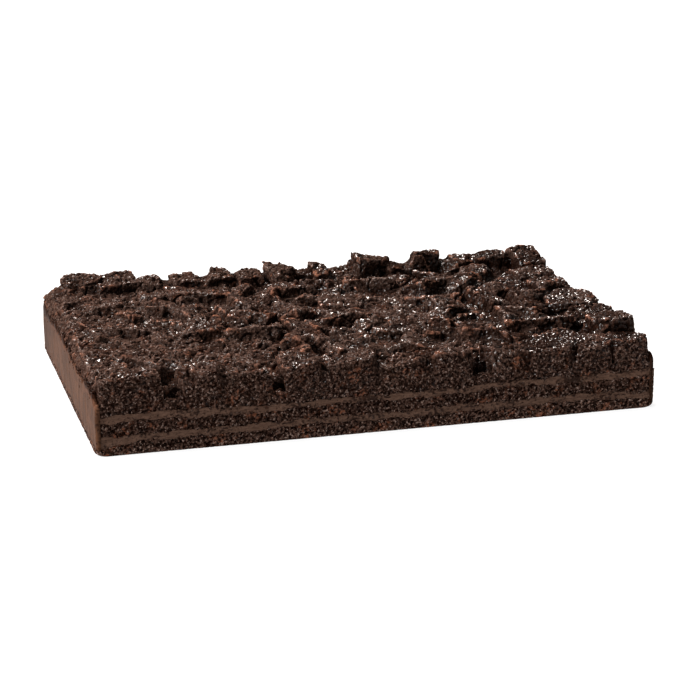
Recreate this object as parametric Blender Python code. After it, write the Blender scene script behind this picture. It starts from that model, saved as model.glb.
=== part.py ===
"""A slab of chocolate layer cake: two sponges, two creams, a heap of torn cake chunks on top.

Lengths are metres. +X runs along the cut front from left to right, -Y faces the viewer of that
front, +Z is up, and the origin is the middle of the cake's underside.
"""

import math
import random

import bmesh
import bpy
from mathutils import Euler, Vector

MM = 0.001

# The whole slab
LENGTH = 300 * MM
WIDTH = 195 * MM
FRONT_Y = -WIDTH / 2
BACK_Y = WIDTH / 2
GAP = 0.3 * MM

# The icing on the left, the back and the right
ICING_THICKNESS = 2.6 * MM
ICING_FOOT = 1.8 * MM
ICING_TOP = 29 * MM
ICING_TOP_WAVE = 1.1 * MM
ICING_END_DROP = 3 * MM
BACK_CORNER_RADIUS = 5 * MM
FRONT_CORNER_RADIUS = 1.8 * MM
CORNER_STEPS = 3

# What lies inside the icing
INNER_X = LENGTH / 2 - ICING_THICKNESS - GAP
INNER_BACK_Y = BACK_Y - ICING_THICKNESS - GAP
FOOT_TOP = ICING_FOOT - GAP

# Heights of the layers' upper faces along the cut front, at these places from left to right
STATIONS = [x * MM for x in (-150, -113, -36, 55, 115, 150)]
BASE_TOP = [z * MM for z in (3.4, 6.7, 7.7, 7.2, 6.7, 5.0)]
LOWER_CREAM_TOP = [z * MM for z in (9.9, 9.7, 11.1, 9.8, 9.8, 7.9)]
MIDDLE_TOP = [z * MM for z in (16.8, 15.7, 17.5, 18.4, 18.2, 17.8)]
UPPER_CREAM_TOP = [z * MM for z in (21.0, 20.9, 20.1, 20.5, 21.2, 21.8)]
RIPPLE = 0.35 * MM
RIPPLE_LENGTH = 21 * MM
DRIFT = 22 * MM
DRIFT_LENGTH = 60 * MM
LAYER_CELLS = (24, 5)
NEARLY_FLAT = math.radians(0.5)

# The heap of chunks
CORE_TOP = 30.5 * MM
CORE_WAVE = 1.6 * MM
CORE_SETBACK = 7 * MM
CORE_CELLS = (20, 12)
HEAP_LIMIT = 60 * MM
CHUNK_SEED = 41
CORNER_SHAKE = 0.13
EDGE_SOFTNESS = 0.15
ROW_PITCH = 21.5 * MM
COLUMN_PITCH = 24 * MM
FIRST_ROW_Y = FRONT_Y + 31 * MM
FIRST_COLUMN_X = -132 * MM
ROW_COUNT = 7
COLUMN_COUNT = 11
SMALL_CHUNKS = 18

# Front row, which the knife cut flush: left end, right end and highest point of each chunk
FRONT_ROW = (
    (-147, -113, 40.5),
    (-106, -84, 40),
    (-84, -58, 38.5),
    (-52, -33, 43),
    (-33, -3, 40.5),
    (-3, 28, 38.5),
    (28, 49, 38.5),
    (60, 80, 39),
    (80, 103, 39),
    (103, 126, 38),
    (126, 146, 41),
)
FRONT_ROW_DEPTH = 24 * MM

# Back row, seen against the light: middle, width and highest point of each chunk
BACK_ROW = (
    (-139, 15, 40.5),
    (-127, 20, 46),
    (-108.5, 21, 45.5),
    (-88, 15, 42.5),
    (-66, 18, 42),
    (-48, 18, 42),
    (-27.5, 18, 43),
    (-8.5, 17, 43.5),
    (10.5, 12, 42.5),
    (25, 17, 39.5),
    (42, 19, 46.5),
    (60, 18, 40.5),
    (79, 20, 46.5),
    (99, 18, 42.5),
    (118, 20, 42),
)
BACK_ROW_DEPTH = 18 * MM

# Right row, against the icing: middle along Y, depth and highest point of each chunk
RIGHT_ROW = (
    (76, 28, 46),
    (50, 19, 39.5),
    (24, 24, 41),
    (-13, 30, 45),
    (-47, 22, 43.5),
)
RIGHT_ROW_WIDTH = 25 * MM


def clear_scene():
    for obj in list(bpy.data.objects):
        bpy.data.objects.remove(obj)


def finish(name, colour, roughness):
    """A plain material with one colour and one roughness."""
    material = bpy.data.materials.new(name)
    material.use_nodes = True
    shader = material.node_tree.nodes["Principled BSDF"]
    shader.inputs["Base Color"].default_value = (*colour, 1.0)
    shader.inputs["Roughness"].default_value = roughness
    shader.inputs["Metallic"].default_value = 0.0
    return material


def new_object(name, bm, material=None):
    mesh = bpy.data.meshes.new(name)
    bm.to_mesh(mesh)
    bm.free()
    obj = bpy.data.objects.new(name, mesh)
    bpy.context.scene.collection.objects.link(obj)
    if material:
        mesh.materials.append(material)
    return obj


def ease(t):
    return t * t * (3 - 2 * t)


def along_stations(heights, x):
    """The height at x, eased from one station to the next."""
    x = min(max(x, STATIONS[0]), STATIONS[-1])
    for i in range(len(STATIONS) - 1):
        if x <= STATIONS[i + 1]:
            share = (x - STATIONS[i]) / (STATIONS[i + 1] - STATIONS[i])
            return heights[i] + (heights[i + 1] - heights[i]) * ease(share)
    return heights[-1]


def layer_face(heights, phase):
    """A boundary between two layers: the stations' heights, a ripple, and a drift towards the back."""

    def height(x, y):
        depth = y - FRONT_Y
        drifted = x + DRIFT * math.sin(depth / DRIFT_LENGTH)
        ripple = RIPPLE * math.sin(x / RIPPLE_LENGTH * 2 * math.pi + phase)
        return along_stations(heights, drifted) + ripple

    return height


BASE_FACE = layer_face(BASE_TOP, 0.4)
LOWER_CREAM_FACE = layer_face(LOWER_CREAM_TOP, 1.9)
MIDDLE_FACE = layer_face(MIDDLE_TOP, 3.1)
UPPER_CREAM_FACE = layer_face(UPPER_CREAM_TOP, 4.6)


def raised(face, by):
    return lambda x, y: face(x, y) + by


def level(height):
    return lambda x, y: height


def upright_edges(bm, corners):
    """The edges that stand at these (x, y) corners."""
    found = []
    for edge in bm.edges:
        a, b = (v.co for v in edge.verts)
        if (a - b).xy.length > 1e-6:
            continue
        if any((a.xy - Vector(corner)).length < 1e-5 for corner in corners):
            found.append(edge)
    return found


def wavy_block(x_limits, y_limits, floor, roof, cells, rounded=()):
    """A block on a rectangle whose floor and roof follow two height functions."""
    bm = bmesh.new()
    bmesh.ops.create_grid(bm, x_segments=cells[0], y_segments=cells[1], size=0.5)
    size = Vector((x_limits[1] - x_limits[0], y_limits[1] - y_limits[0], 1))
    middle = Vector((sum(x_limits) / 2, sum(y_limits) / 2, 0))
    bmesh.ops.scale(bm, vec=size, verts=bm.verts)
    bmesh.ops.translate(bm, vec=middle, verts=bm.verts)
    lower = list(bm.verts)
    raised_part = bmesh.ops.extrude_face_region(bm, geom=bm.faces[:])
    upper = [v for v in raised_part["geom"] if isinstance(v, bmesh.types.BMVert)]
    for v in lower:
        v.co.z = floor(v.co.x, v.co.y)
    for v in upper:
        v.co.z = roof(v.co.x, v.co.y)
    for corners, radius in rounded:
        bmesh.ops.bevel(
            bm,
            geom=upright_edges(bm, corners),
            offset=radius,
            affect="EDGES",
            segments=CORNER_STEPS,
            profile=0.5,
            material=-1,
        )
    bmesh.ops.recalc_face_normals(bm, faces=bm.faces)
    return bm


def inner_block(floor, roof, cells=LAYER_CELLS):
    """A layer inside the icing, open to the cut front."""
    back_corners = [(-INNER_X, INNER_BACK_Y), (INNER_X, INNER_BACK_Y)]
    radius = BACK_CORNER_RADIUS - ICING_THICKNESS
    return wavy_block(
        (-INNER_X, INNER_X), (FRONT_Y, INNER_BACK_Y), floor, roof, cells, [(back_corners, radius)]
    )


def combine(obj, other, operation):
    """Joins, cuts or trims obj by another object or a collection, and removes that."""
    modifier = obj.modifiers.new(operation.title(), "BOOLEAN")
    modifier.operation = operation
    modifier.solver = "EXACT"
    if isinstance(other, bpy.types.Collection):
        modifier.operand_type = "COLLECTION"
        modifier.collection = other
    else:
        modifier.object = other
    graph = bpy.context.evaluated_depsgraph_get()
    combined = bpy.data.meshes.new_from_object(obj.evaluated_get(graph))
    obj.modifiers.clear()
    old = obj.data
    obj.data = combined
    bpy.data.meshes.remove(old)
    if isinstance(other, bpy.types.Collection):
        for member in list(other.objects):
            bpy.data.objects.remove(member)
        bpy.data.collections.remove(other)
    else:
        bpy.data.objects.remove(other)


def shells_of(bm):
    """The mesh's faces in groups that share edges."""
    waiting = set(bm.faces)
    shells = []
    while waiting:
        shell = [waiting.pop()]
        for face in shell:
            for edge in face.edges:
                for other in edge.link_faces:
                    if other in waiting:
                        waiting.remove(other)
                        shell.append(other)
        shells.append(shell)
    return shells


def keep_outer_shell(obj):
    """Fills hollows that fusing has sealed and drops loose scraps: only the largest shell stays."""
    bm = bmesh.new()
    bm.from_mesh(obj.data)
    outer = max(shells_of(bm), key=len)
    stray = list(set(bm.faces) - set(outer))
    bmesh.ops.delete(bm, geom=stray, context="FACES")
    bmesh.ops.dissolve_limit(bm, angle_limit=NEARLY_FLAT, verts=bm.verts, edges=bm.edges)
    bmesh.ops.triangulate(bm, faces=bm.faces[:])
    bm.to_mesh(obj.data)
    bm.free()


def build_sponge_base(material):
    """The bottom sponge. Its foot reaches out under the icing to the slab's full size."""
    corners_front = [(-LENGTH / 2, FRONT_Y), (LENGTH / 2, FRONT_Y)]
    corners_back = [(-LENGTH / 2, BACK_Y), (LENGTH / 2, BACK_Y)]
    rounded = [(corners_front, FRONT_CORNER_RADIUS), (corners_back, BACK_CORNER_RADIUS)]
    foot = wavy_block(
        (-LENGTH / 2, LENGTH / 2), (FRONT_Y, BACK_Y), level(0), level(FOOT_TOP), (1, 1), rounded
    )
    base = new_object("sponge_base", foot, material)
    upper = new_object("sponge_base_upper", inner_block(level(FOOT_TOP / 2), raised(BASE_FACE, -GAP / 2)))
    combine(base, upper, "UNION")
    return base


def build_layer(name, floor, roof, material):
    return new_object(name, inner_block(raised(floor, GAP / 2), raised(roof, -GAP / 2)), material)


def arc(centre, radius, start, end):
    """Points on a round corner, from one angle to the other."""
    steps = CORNER_STEPS
    angles = [start + (end - start) * i / steps for i in range(steps + 1)]
    return [Vector((centre[0] + radius * math.cos(a), centre[1] + radius * math.sin(a))) for a in angles]


def run(start, end, pieces):
    """Evenly spaced points between two ends, without the ends."""
    return [Vector(start).lerp(Vector(end), i / pieces) for i in range(1, pieces)]


def icing_outline():
    """Pairs of outer and inner points from the front left end, round the back, to the front right end."""
    half = LENGTH / 2
    inside = half - ICING_THICKNESS
    r = FRONT_CORNER_RADIUS
    left_outer = arc((-half + r, FRONT_Y + r), r, 1.5 * math.pi, math.pi)
    left = [(p, Vector((-inside, p.y))) for p in left_outer]
    side_run = run((-half, FRONT_Y + r), (-half, BACK_Y - BACK_CORNER_RADIUS), 12)
    left += [(p, Vector((-inside, p.y))) for p in side_run]
    centre = (-half + BACK_CORNER_RADIUS, BACK_Y - BACK_CORNER_RADIUS)
    outer = arc(centre, BACK_CORNER_RADIUS, math.pi, math.pi / 2)
    inner = arc(centre, BACK_CORNER_RADIUS - ICING_THICKNESS, math.pi, math.pi / 2)
    left += list(zip(outer, inner))
    back_run = run((centre[0], BACK_Y), (-centre[0], BACK_Y), 18)
    back = [(p, Vector((p.x, BACK_Y - ICING_THICKNESS))) for p in back_run]
    right = [(Vector((-a.x, a.y)), Vector((-b.x, b.y))) for a, b in reversed(left)]
    return left + back + right


def icing_top(x, y):
    """The icing's uneven upper edge, lower at the two cut ends."""
    wave = math.sin(x / (27 * MM) + 1.3) * math.sin(y / (17 * MM) + 0.6)
    near_cut = max(0.0, 1 - (y - FRONT_Y) / (9 * MM))
    return ICING_TOP + ICING_TOP_WAVE * wave - ICING_END_DROP * near_cut


def build_side_icing(material):
    """One strip of quads along the outline, extruded upwards to the uneven top edge."""
    bm = bmesh.new()
    pairs = [
        [bm.verts.new((p.x, p.y, ICING_FOOT)) for p in pair]
        for pair in icing_outline()
    ]
    for (outer, inner), (next_outer, next_inner) in zip(pairs, pairs[1:]):
        bm.faces.new((outer, inner, next_inner, next_outer))
    upward = bmesh.ops.extrude_face_region(bm, geom=bm.faces[:])
    for v in upward["geom"]:
        if isinstance(v, bmesh.types.BMVert):
            v.co.z = icing_top(v.co.x, v.co.y)
    bmesh.ops.recalc_face_normals(bm, faces=bm.faces)
    return new_object("side_icing", bm, material)


def heap_layout():
    """Where each chunk lies: middle and highest point, size, turn about Z, and tilt about X and Y."""
    draw = random.Random(CHUNK_SEED)
    chunks = []
    for left, right, top in FRONT_ROW:
        width, height = (right - left + 1.5) * MM, (top - 18) * MM
        depth = FRONT_ROW_DEPTH * draw.uniform(0.9, 1.15)
        place = ((left + right) / 2 * MM, FRONT_Y + depth / 2 - 4 * MM, top * MM)
        tilt = (draw.uniform(-0.06, 0.1), draw.uniform(-0.07, 0.07))
        chunks.append((place, (width, depth, height), draw.uniform(-0.08, 0.08), tilt))
    for x, width, top in BACK_ROW:
        depth = BACK_ROW_DEPTH * draw.uniform(0.95, 1.2)
        place = (x * MM, BACK_Y - ICING_THICKNESS - depth / 2, top * MM)
        tilt = (draw.uniform(-0.12, 0.12), draw.uniform(-0.16, 0.16))
        chunks.append((place, (width * MM, depth, 20 * MM), draw.uniform(-0.25, 0.25), tilt))
    for y, depth, top in RIGHT_ROW:
        width = RIGHT_ROW_WIDTH * draw.uniform(0.95, 1.15)
        place = (LENGTH / 2 - ICING_THICKNESS - width / 2, y * MM, top * MM)
        tilt = (draw.uniform(-0.16, 0.16), draw.uniform(-0.12, 0.12))
        chunks.append((place, (width, depth * MM, 20 * MM), draw.uniform(-0.2, 0.2), tilt))
    for row in range(ROW_COUNT):
        for column in range(COLUMN_COUNT):
            stagger = 0.25 if row % 2 else -0.25
            x = FIRST_COLUMN_X + COLUMN_PITCH * (column + stagger) + draw.uniform(-4, 4) * MM
            y = FIRST_ROW_Y + ROW_PITCH * row + draw.uniform(-3.5, 3.5) * MM
            width = draw.uniform(17, 29) * MM
            depth = draw.uniform(14, 23) * MM
            height = draw.uniform(13, 20) * MM
            top = draw.uniform(37.5, 43.5) * MM
            tilt = (draw.uniform(-0.45, 0.35), draw.uniform(-0.4, 0.4))
            turn = draw.uniform(-0.9, 0.9)
            x = max(x, -INNER_X + 8 * MM)
            slump = max(0.0, 1 - (x + INNER_X) / (20 * MM)) * 5 * MM
            chunks.append(((x, y, top - slump), (width, depth, height), turn, tilt))
    for _ in range(SMALL_CHUNKS):
        x = draw.uniform(-0.92, 0.92) * INNER_X
        y = draw.uniform(FRONT_Y + 16 * MM, INNER_BACK_Y - 14 * MM)
        size = tuple(draw.uniform(8, 14) * MM for _ in range(3))
        tilt = (draw.uniform(-0.8, 0.8), draw.uniform(-0.8, 0.8))
        place = (x, y, draw.uniform(39, 44) * MM)
        chunks.append((place, size, draw.uniform(0, math.pi), tilt))
    return chunks


def torn_chunk(number, place, size, turn, tilt):
    """A cube of cake with its corners knocked about and its upper edges crumbled round."""
    shake = random.Random(CHUNK_SEED * 1000 + number)
    bm = bmesh.new()
    bmesh.ops.create_cube(bm, size=1.0)
    for v in bm.verts:
        v.co += Vector([shake.uniform(-CORNER_SHAKE, CORNER_SHAKE) for _ in range(3)])
    bmesh.ops.scale(bm, vec=Vector(size), verts=bm.verts)
    crumbled = [e for e in bm.edges if min(v.co.z for v in e.verts) > 0]
    bmesh.ops.bevel(
        bm,
        geom=crumbled,
        offset=EDGE_SOFTNESS * min(size),
        affect="EDGES",
        segments=1,
        profile=0.5,
        material=-1,
    )
    turned = Euler((tilt[0], tilt[1], turn)).to_matrix()
    bmesh.ops.rotate(bm, cent=(0, 0, 0), matrix=turned, verts=bm.verts)
    highest = max(v.co.z for v in bm.verts)
    bmesh.ops.translate(bm, vec=Vector(place) - Vector((0, 0, highest)), verts=bm.verts)
    bmesh.ops.triangulate(bm, faces=bm.faces[:])
    return bm


def core_roof(x, y):
    """The bed of crumb that the chunks sit in."""
    wave = math.sin(x / (15 * MM) + 0.7) * math.sin(y / (12 * MM) + 2.1)
    return CORE_TOP + CORE_WAVE * wave


def build_topping(material):
    """The chunks fused onto their bed, then trimmed by the cut front, the cream and the icing."""
    inset = 1.5 * MM
    core = wavy_block(
        (-INNER_X + inset, INNER_X - inset),
        (FRONT_Y + CORE_SETBACK, INNER_BACK_Y - inset),
        raised(UPPER_CREAM_FACE, GAP + 0.2 * MM),
        core_roof,
        CORE_CELLS,
    )
    topping = new_object("cake_chunk_topping", core, material)
    chunks = bpy.data.collections.new("chunks")
    bpy.context.scene.collection.children.link(chunks)
    for number, recipe in enumerate(heap_layout()):
        chunk = new_object(f"chunk_{number}", torn_chunk(number, *recipe))
        bpy.context.scene.collection.objects.unlink(chunk)
        chunks.objects.link(chunk)
    combine(topping, chunks, "UNION")
    room = new_object("room", inner_block(raised(UPPER_CREAM_FACE, GAP / 2), level(HEAP_LIMIT)))
    combine(topping, room, "INTERSECT")
    keep_outer_shell(topping)
    return topping


def main():
    clear_scene()
    sponge = finish("dark_chocolate_sponge", (0.040, 0.023, 0.017), 0.85)
    cream = finish("chocolate_cream", (0.150, 0.088, 0.062), 0.55)
    icing = finish("chocolate_icing", (0.165, 0.102, 0.074), 0.5)
    glazed = finish("glazed_cake_chunks", (0.045, 0.026, 0.020), 0.5)
    build_sponge_base(sponge)
    build_layer("cream_lower", BASE_FACE, LOWER_CREAM_FACE, cream)
    build_layer("sponge_middle", LOWER_CREAM_FACE, MIDDLE_FACE, sponge)
    build_layer("cream_upper", MIDDLE_FACE, UPPER_CREAM_FACE, cream)
    build_side_icing(icing)
    build_topping(glazed)


main()
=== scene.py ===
"""Looks of a slab of chocolate layer cake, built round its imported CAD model.

Metres. +X runs along the cut front from left to right, -Y faces the viewer of that front, +Z is
up, and the origin is the middle of the cake's underside.
"""

import math
import random

import bmesh
import bpy
from mathutils import Euler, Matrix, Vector, noise
from mathutils.bvhtree import BVHTree


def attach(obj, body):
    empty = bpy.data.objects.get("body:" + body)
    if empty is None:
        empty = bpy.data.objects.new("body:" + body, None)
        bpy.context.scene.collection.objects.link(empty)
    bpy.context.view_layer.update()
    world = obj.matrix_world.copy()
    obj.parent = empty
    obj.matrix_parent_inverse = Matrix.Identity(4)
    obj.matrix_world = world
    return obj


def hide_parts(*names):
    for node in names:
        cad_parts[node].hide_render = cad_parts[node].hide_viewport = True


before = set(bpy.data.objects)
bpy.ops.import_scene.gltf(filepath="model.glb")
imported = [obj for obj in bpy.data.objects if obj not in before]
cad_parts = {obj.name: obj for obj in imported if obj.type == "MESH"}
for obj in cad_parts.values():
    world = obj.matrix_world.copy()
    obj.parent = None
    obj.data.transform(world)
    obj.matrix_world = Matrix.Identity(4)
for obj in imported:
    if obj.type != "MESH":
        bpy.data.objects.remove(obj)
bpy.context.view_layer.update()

# --- Bottom sponge ---------------------------------------------------------------------------
# The lowest layer: dark chocolate sponge about 7 mm thick, baked as a sheet. A long knife has cut
# its front, which shows the open crumb, and its foot reaches out under the icing all round.

MM = 0.001
LENGTH, WIDTH = 300 * MM, 195 * MM
FRONT_Y, BACK_Y = -WIDTH / 2, WIDTH / 2
ICING_THICKNESS = 2.6 * MM
BACK_CORNER_RADIUS = 5 * MM
INNER_X = LENGTH / 2 - ICING_THICKNESS
INNER_BACK_Y = BACK_Y - ICING_THICKNESS
RIM_RADIUS = 0.8 * MM
CORNER_RIM_RADIUS = 4.6 * MM
CORNER_RIM_LENGTH = 9 * MM

SMEARED_DEPTH = 1.0 * MM
END_GAP = 0.2 * MM


def millimetres(*values):
    return [value * MM for value in values]


STATIONS = millimetres(-150, -123, -96, -69, -42, -15, 12, 39, 66, 93, 120, 150)
BASE_TOP = millimetres(3.4, 6.8, 6.8, 6.3, 7.6, 7.0, 6.2, 6.9, 6.4, 7.4, 6.3, 5.0)
BEHIND_THE_CUT = millimetres(0.8, 1.3, 3, 9, 40, 80, 120, 160)
CUT_CELL = 0.42 * MM
SPONGE_ROWS = 15
RIPPLE, RIPPLE_LENGTH = 0.35 * MM, 21 * MM
DRIFT, DRIFT_LENGTH = 22 * MM, 60 * MM
CLOD, CLOD_LENGTH = 0.9 * MM, 4.3
CRUMB, CRUMB_LENGTH = 0.8 * MM, 1.4
RAGGED_DEPTH = 7


def ease(value, low, high):
    """0 below low, 1 above high, eased between."""
    share = min(1.0, max(0.0, (value - low) / (high - low)))
    return share * share * (3 - 2 * share)


def along_stations(heights, x):
    """The height at x, eased from one station to the next."""
    for i in range(1, len(STATIONS)):
        if x <= STATIONS[i]:
            rise = ease(x, STATIONS[i - 1], STATIONS[i])
            return heights[i - 1] + (heights[i] - heights[i - 1]) * rise
    return heights[-1]


def layer_face(heights, phase):
    """A boundary between two layers, ragged where crumbs meet cream."""

    def height(x, y):
        drifted = x + DRIFT * math.sin((y - FRONT_Y) / DRIFT_LENGTH)
        ripple = RIPPLE * math.sin(x / RIPPLE_LENGTH * 2 * math.pi + phase)
        inwards = y / MM / RAGGED_DEPTH
        clods = CLOD * noise.noise((x / MM / CLOD_LENGTH, inwards, phase * 9))
        crumbs = CRUMB * noise.noise((x / MM / CRUMB_LENGTH, inwards, phase * 5))
        return along_stations(heights, drifted) + ripple + clods + crumbs

    return height


def rim_inset(y, z):
    """How far the rounded lower rim lies inside the cake's sides, most at the two cut ends."""
    from_corner = max(0.0, 1 - max(0.0, y - FRONT_Y) / CORNER_RIM_LENGTH)
    radius = RIM_RADIUS + CORNER_RIM_RADIUS * (1 - math.sqrt(1 - from_corner**2))
    if z >= radius:
        return 0.0
    return radius - math.sqrt(radius**2 - (radius - z) ** 2)


PORE_SIZE, HOLLOW_SIZE = 1.45, 4.5
PRESSED_HEIGHT = 2.2


def open_crumb(p):
    """Depth of the open crumb at a point in millimetres, and the painted shade of its pores there.
    """
    pore = noise.noise(p / PORE_SIZE + Vector((40, 0, 0)))
    hollow = noise.noise(p / HOLLOW_SIZE)
    depth = 0.4 + 0.5 * hollow + 0.5 * pore + 2.0 * max(0.0, pore - 0.04)
    return max(0.0, depth), ease(pore, -0.05, 0.30)


def pressed_crumb(p):
    """The open crumb of the bottom layer, closed again where it was baked on the tin."""
    depth, pores = open_crumb(p)
    opened = ease(p.z, 0, PRESSED_HEIGHT)
    return depth * (0.2 + 0.8 * opened), pores * (0.5 + 0.5 * opened)


def half_length(x, y):
    """How far the layers reach. On the right the knife has smeared them over the icing's end."""
    smeared = x > 0 and y - FRONT_Y < SMEARED_DEPTH
    return LENGTH / 2 - END_GAP if smeared else INNER_X


def cut_layer(floor, roof, rows, relief):
    """A layer from the cut front to the icing at the back, its front face pressed in by relief."""
    bm = bmesh.new()
    dark = bm.verts.layers.float.new("dark")
    columns = round(2 * INNER_X / CUT_CELL)
    bmesh.ops.create_grid(bm, x_segments=columns, y_segments=rows, size=0.5)
    for v in bm.verts:
        v.co = Vector((v.co.x * 2 * INNER_X, FRONT_Y, v.co.y + 0.5))
    front = bm.verts[:]
    cap = cut_face = bm.faces[:]
    for depth in [*BEHIND_THE_CUT, INNER_BACK_Y - FRONT_Y]:
        pushed = bmesh.ops.extrude_face_region(bm, geom=cap)["geom"]
        if cap is not cut_face:
            bmesh.ops.delete(bm, geom=cap, context="FACES")
        cap = [g for g in pushed if isinstance(g, bmesh.types.BMFace)]
        for v in pushed:
            if isinstance(v, bmesh.types.BMVert):
                v.co.y = FRONT_Y + depth
    for v in bm.verts:
        low, high = floor(v.co.x, v.co.y), roof(v.co.x, v.co.y)
        v.co.z = low + (high - low) * v.co.z
        outermost = LENGTH / 2 - rim_inset(v.co.y, v.co.z) - END_GAP
        v.co.x *= min(half_length(v.co.x, v.co.y), outermost) / INNER_X
    for v in front:
        depth, v[dark] = relief(v.co / MM)
        v.co.y += depth * MM
    bmesh.ops.recalc_face_normals(bm, faces=bm.faces)
    return bm


def add_piece(name, bm, finish, slot, *nodes):
    """Makes the mesh a piece of the cake that stands for these CAD nodes."""
    mesh = bpy.data.meshes.new(name)
    bm.to_mesh(mesh)
    bm.free()
    mesh.shade_smooth()
    mesh.materials.append(finish.material)
    piece = bpy.data.objects.new(name, mesh)
    bpy.context.scene.collection.objects.link(piece)
    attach(piece, "root")
    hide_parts(*nodes)
    return piece


def side_path(distance):
    """The point and outward direction at this distance round the left, the back and the right."""
    turns = math.pi / 2 * BACK_CORNER_RADIUS
    side = WIDTH - BACK_CORNER_RADIUS
    back = LENGTH - 2 * BACK_CORNER_RADIUS
    half = LENGTH / 2
    if distance < side:
        return Vector((-half, FRONT_Y + distance)), Vector((-1, 0))
    if distance < side + turns:
        angle = math.pi - (distance - side) / BACK_CORNER_RADIUS
        out = Vector((math.cos(angle), math.sin(angle)))
        centre = Vector((-half + BACK_CORNER_RADIUS, BACK_Y - BACK_CORNER_RADIUS))
        return centre + out * BACK_CORNER_RADIUS, out
    if distance <= side + turns + back:
        along_back = distance - side - turns
        return Vector((-half + BACK_CORNER_RADIUS + along_back, BACK_Y)), Vector((0, 1))
    point, out = side_path(2 * (side + turns) + back - distance)
    return Vector((-point.x, point.y)), Vector((-out.x, out.y))


SIDE_LENGTH = 2 * WIDTH + LENGTH - (4 - math.pi) * BACK_CORNER_RADIUS
END_CROWDING = 0.1


def side_strip(cell, rows, inner_depth, outer_skin):
    """A band round the three uncut sides, with its columns closer together at the two cut ends.

    outer_skin gives the depth below the cake's side and the height, from the point there and from
    the share of the band's height.
    """
    strip = bmesh.new()
    strip.verts.layers.float.new("dark")
    columns = round(SIDE_LENGTH / cell)
    bmesh.ops.create_grid(strip, x_segments=columns, y_segments=rows, size=0.5)
    outside = strip.verts[:]
    inside = [
        v
        for v in bmesh.ops.extrude_face_region(strip, geom=strip.faces[:])["geom"]
        if isinstance(v, bmesh.types.BMVert)
    ]
    for skin in (outside, inside):
        for v in skin:
            share = v.co.x + 0.5
            share -= END_CROWDING * math.sin(share * math.tau)
            point, out = side_path(min(max(share, 0.0), 1.0) * SIDE_LENGTH)
            depth, z = outer_skin(point, v.co.y + 0.5)
            depth = inner_depth if skin is inside else depth
            place = point - out * (depth + rim_inset(point.y, z))
            v.co = Vector((place.x, place.y, z))
    bmesh.ops.recalc_face_normals(strip, faces=strip.faces)
    return strip


def join(meshes):
    """Joins finished meshes in one."""
    whole = bmesh.new()
    for bm in meshes:
        mesh = bpy.data.meshes.new("part")
        bm.to_mesh(mesh)
        bm.free()
        whole.from_mesh(mesh)
        bpy.data.meshes.remove(mesh)
    return whole


class Wire:
    """An output socket of a finish. Sums on it add Math nodes."""

    def __init__(self, finish, socket):
        self.finish, self.socket = finish, socket

    def sum_with(self, operation, first, second):
        return self.finish.node("ShaderNodeMath", {"operation": operation}, {0: first, 1: second})

    def __add__(self, other):
        return self.sum_with("ADD", self, other)

    def __sub__(self, other):
        return self.sum_with("SUBTRACT", self, other)

    def __rsub__(self, other):
        return self.sum_with("SUBTRACT", other, self)

    def __mul__(self, other):
        return self.sum_with("MULTIPLY", self, other)

    __radd__, __rmul__ = __add__, __mul__


class Finish:
    """A material and the nodes that feed its shader."""

    def __init__(self, name, constants):
        self.material = bpy.data.materials.new(name)
        self.material.use_nodes = True
        self.tree = self.material.node_tree
        self.shader = self.tree.nodes["Principled BSDF"]
        for socket, value in constants.items():
            self.shader.inputs[socket].default_value = value
        self.place = self.node("ShaderNodeTexCoord", output="Object")

    def node(self, kind, settings=None, inputs=None, output=0):
        """Adds a node: its settings first, then the values or links of its sockets."""
        made = self.tree.nodes.new(kind)
        for name, value in (settings or {}).items():
            setattr(made, name, value)
        for name, value in (inputs or {}).items():
            self.feed(made.inputs[name], value)
        return Wire(self, made.outputs[output])

    def feed(self, socket, value):
        if isinstance(value, Wire):
            self.tree.links.new(value.socket, socket)
        else:
            socket.default_value = value

    def grain(self, size, detail=2.0, roughness=0.5, place=None, distortion=0.0):
        """Soft noise whose lumps are about this size."""
        wanted = {"Vector": place or self.place, "Scale": 1 / size, "Detail": detail}
        wanted.update({"Roughness": roughness, "Distortion": distortion})
        return self.node("ShaderNodeTexNoise", {}, wanted, "Fac")

    def cells(self, size):
        """Grains about this size, packed together."""
        wanted = {"Vector": self.place, "Scale": 1 / size}
        return self.node("ShaderNodeTexVoronoi", {}, wanted, "Distance")

    def along(self, axis, vector=None):
        """One coordinate of the place, or of another vector."""
        return self.node("ShaderNodeSeparateXYZ", {}, {0: vector or self.place}, axis)

    def drawn_out(self, scale):
        """The place, scaled so that patterns on it are longer where the scale is smaller."""
        return self.node("ShaderNodeMapping", {}, {"Vector": self.place, "Scale": scale}, "Vector")

    def step(self, wire, low, high):
        """0 below low, 1 above high, eased between."""
        settings = {"interpolation_type": "SMOOTHSTEP"}
        return self.node("ShaderNodeMapRange", settings, {"Value": wire, 1: low, 2: high})

    def blend(self, share, first, second):
        """One colour where share is 0, the other where it is 1."""
        colours = [c if isinstance(c, Wire) else (*c, 1) for c in (first, second)]
        inputs = {0: share, 6: colours[0], 7: colours[1]}
        return self.node("ShaderNodeMix", {"data_type": "RGBA"}, inputs, 2)

    def mark(self, name):
        """What the mesh holds under this name, from 0 to 1."""
        return self.node("ShaderNodeAttribute", {"attribute_name": name}, output="Fac")

    def relief(self, height, distance, strength):
        """Small bumps in the shading."""
        inputs = {"Height": height, "Distance": distance, "Strength": strength}
        self.feed(self.shader.inputs["Normal"], self.node("ShaderNodeBump", {}, inputs, "Normal"))

    def colour(self, wire):
        self.feed(self.shader.inputs["Base Color"], wire)

    def dullness(self, wire):
        self.feed(self.shader.inputs["Roughness"], wire)


CRUMB_SHADE = (0.0060, 0.0016, 0.0006)
CRUMB_COLOUR = (0.058, 0.0325, 0.0240)
CRUMB_LIGHT = (0.230, 0.163, 0.136)
CRUMB_RED = (0.130, 0.048, 0.026)


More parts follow.
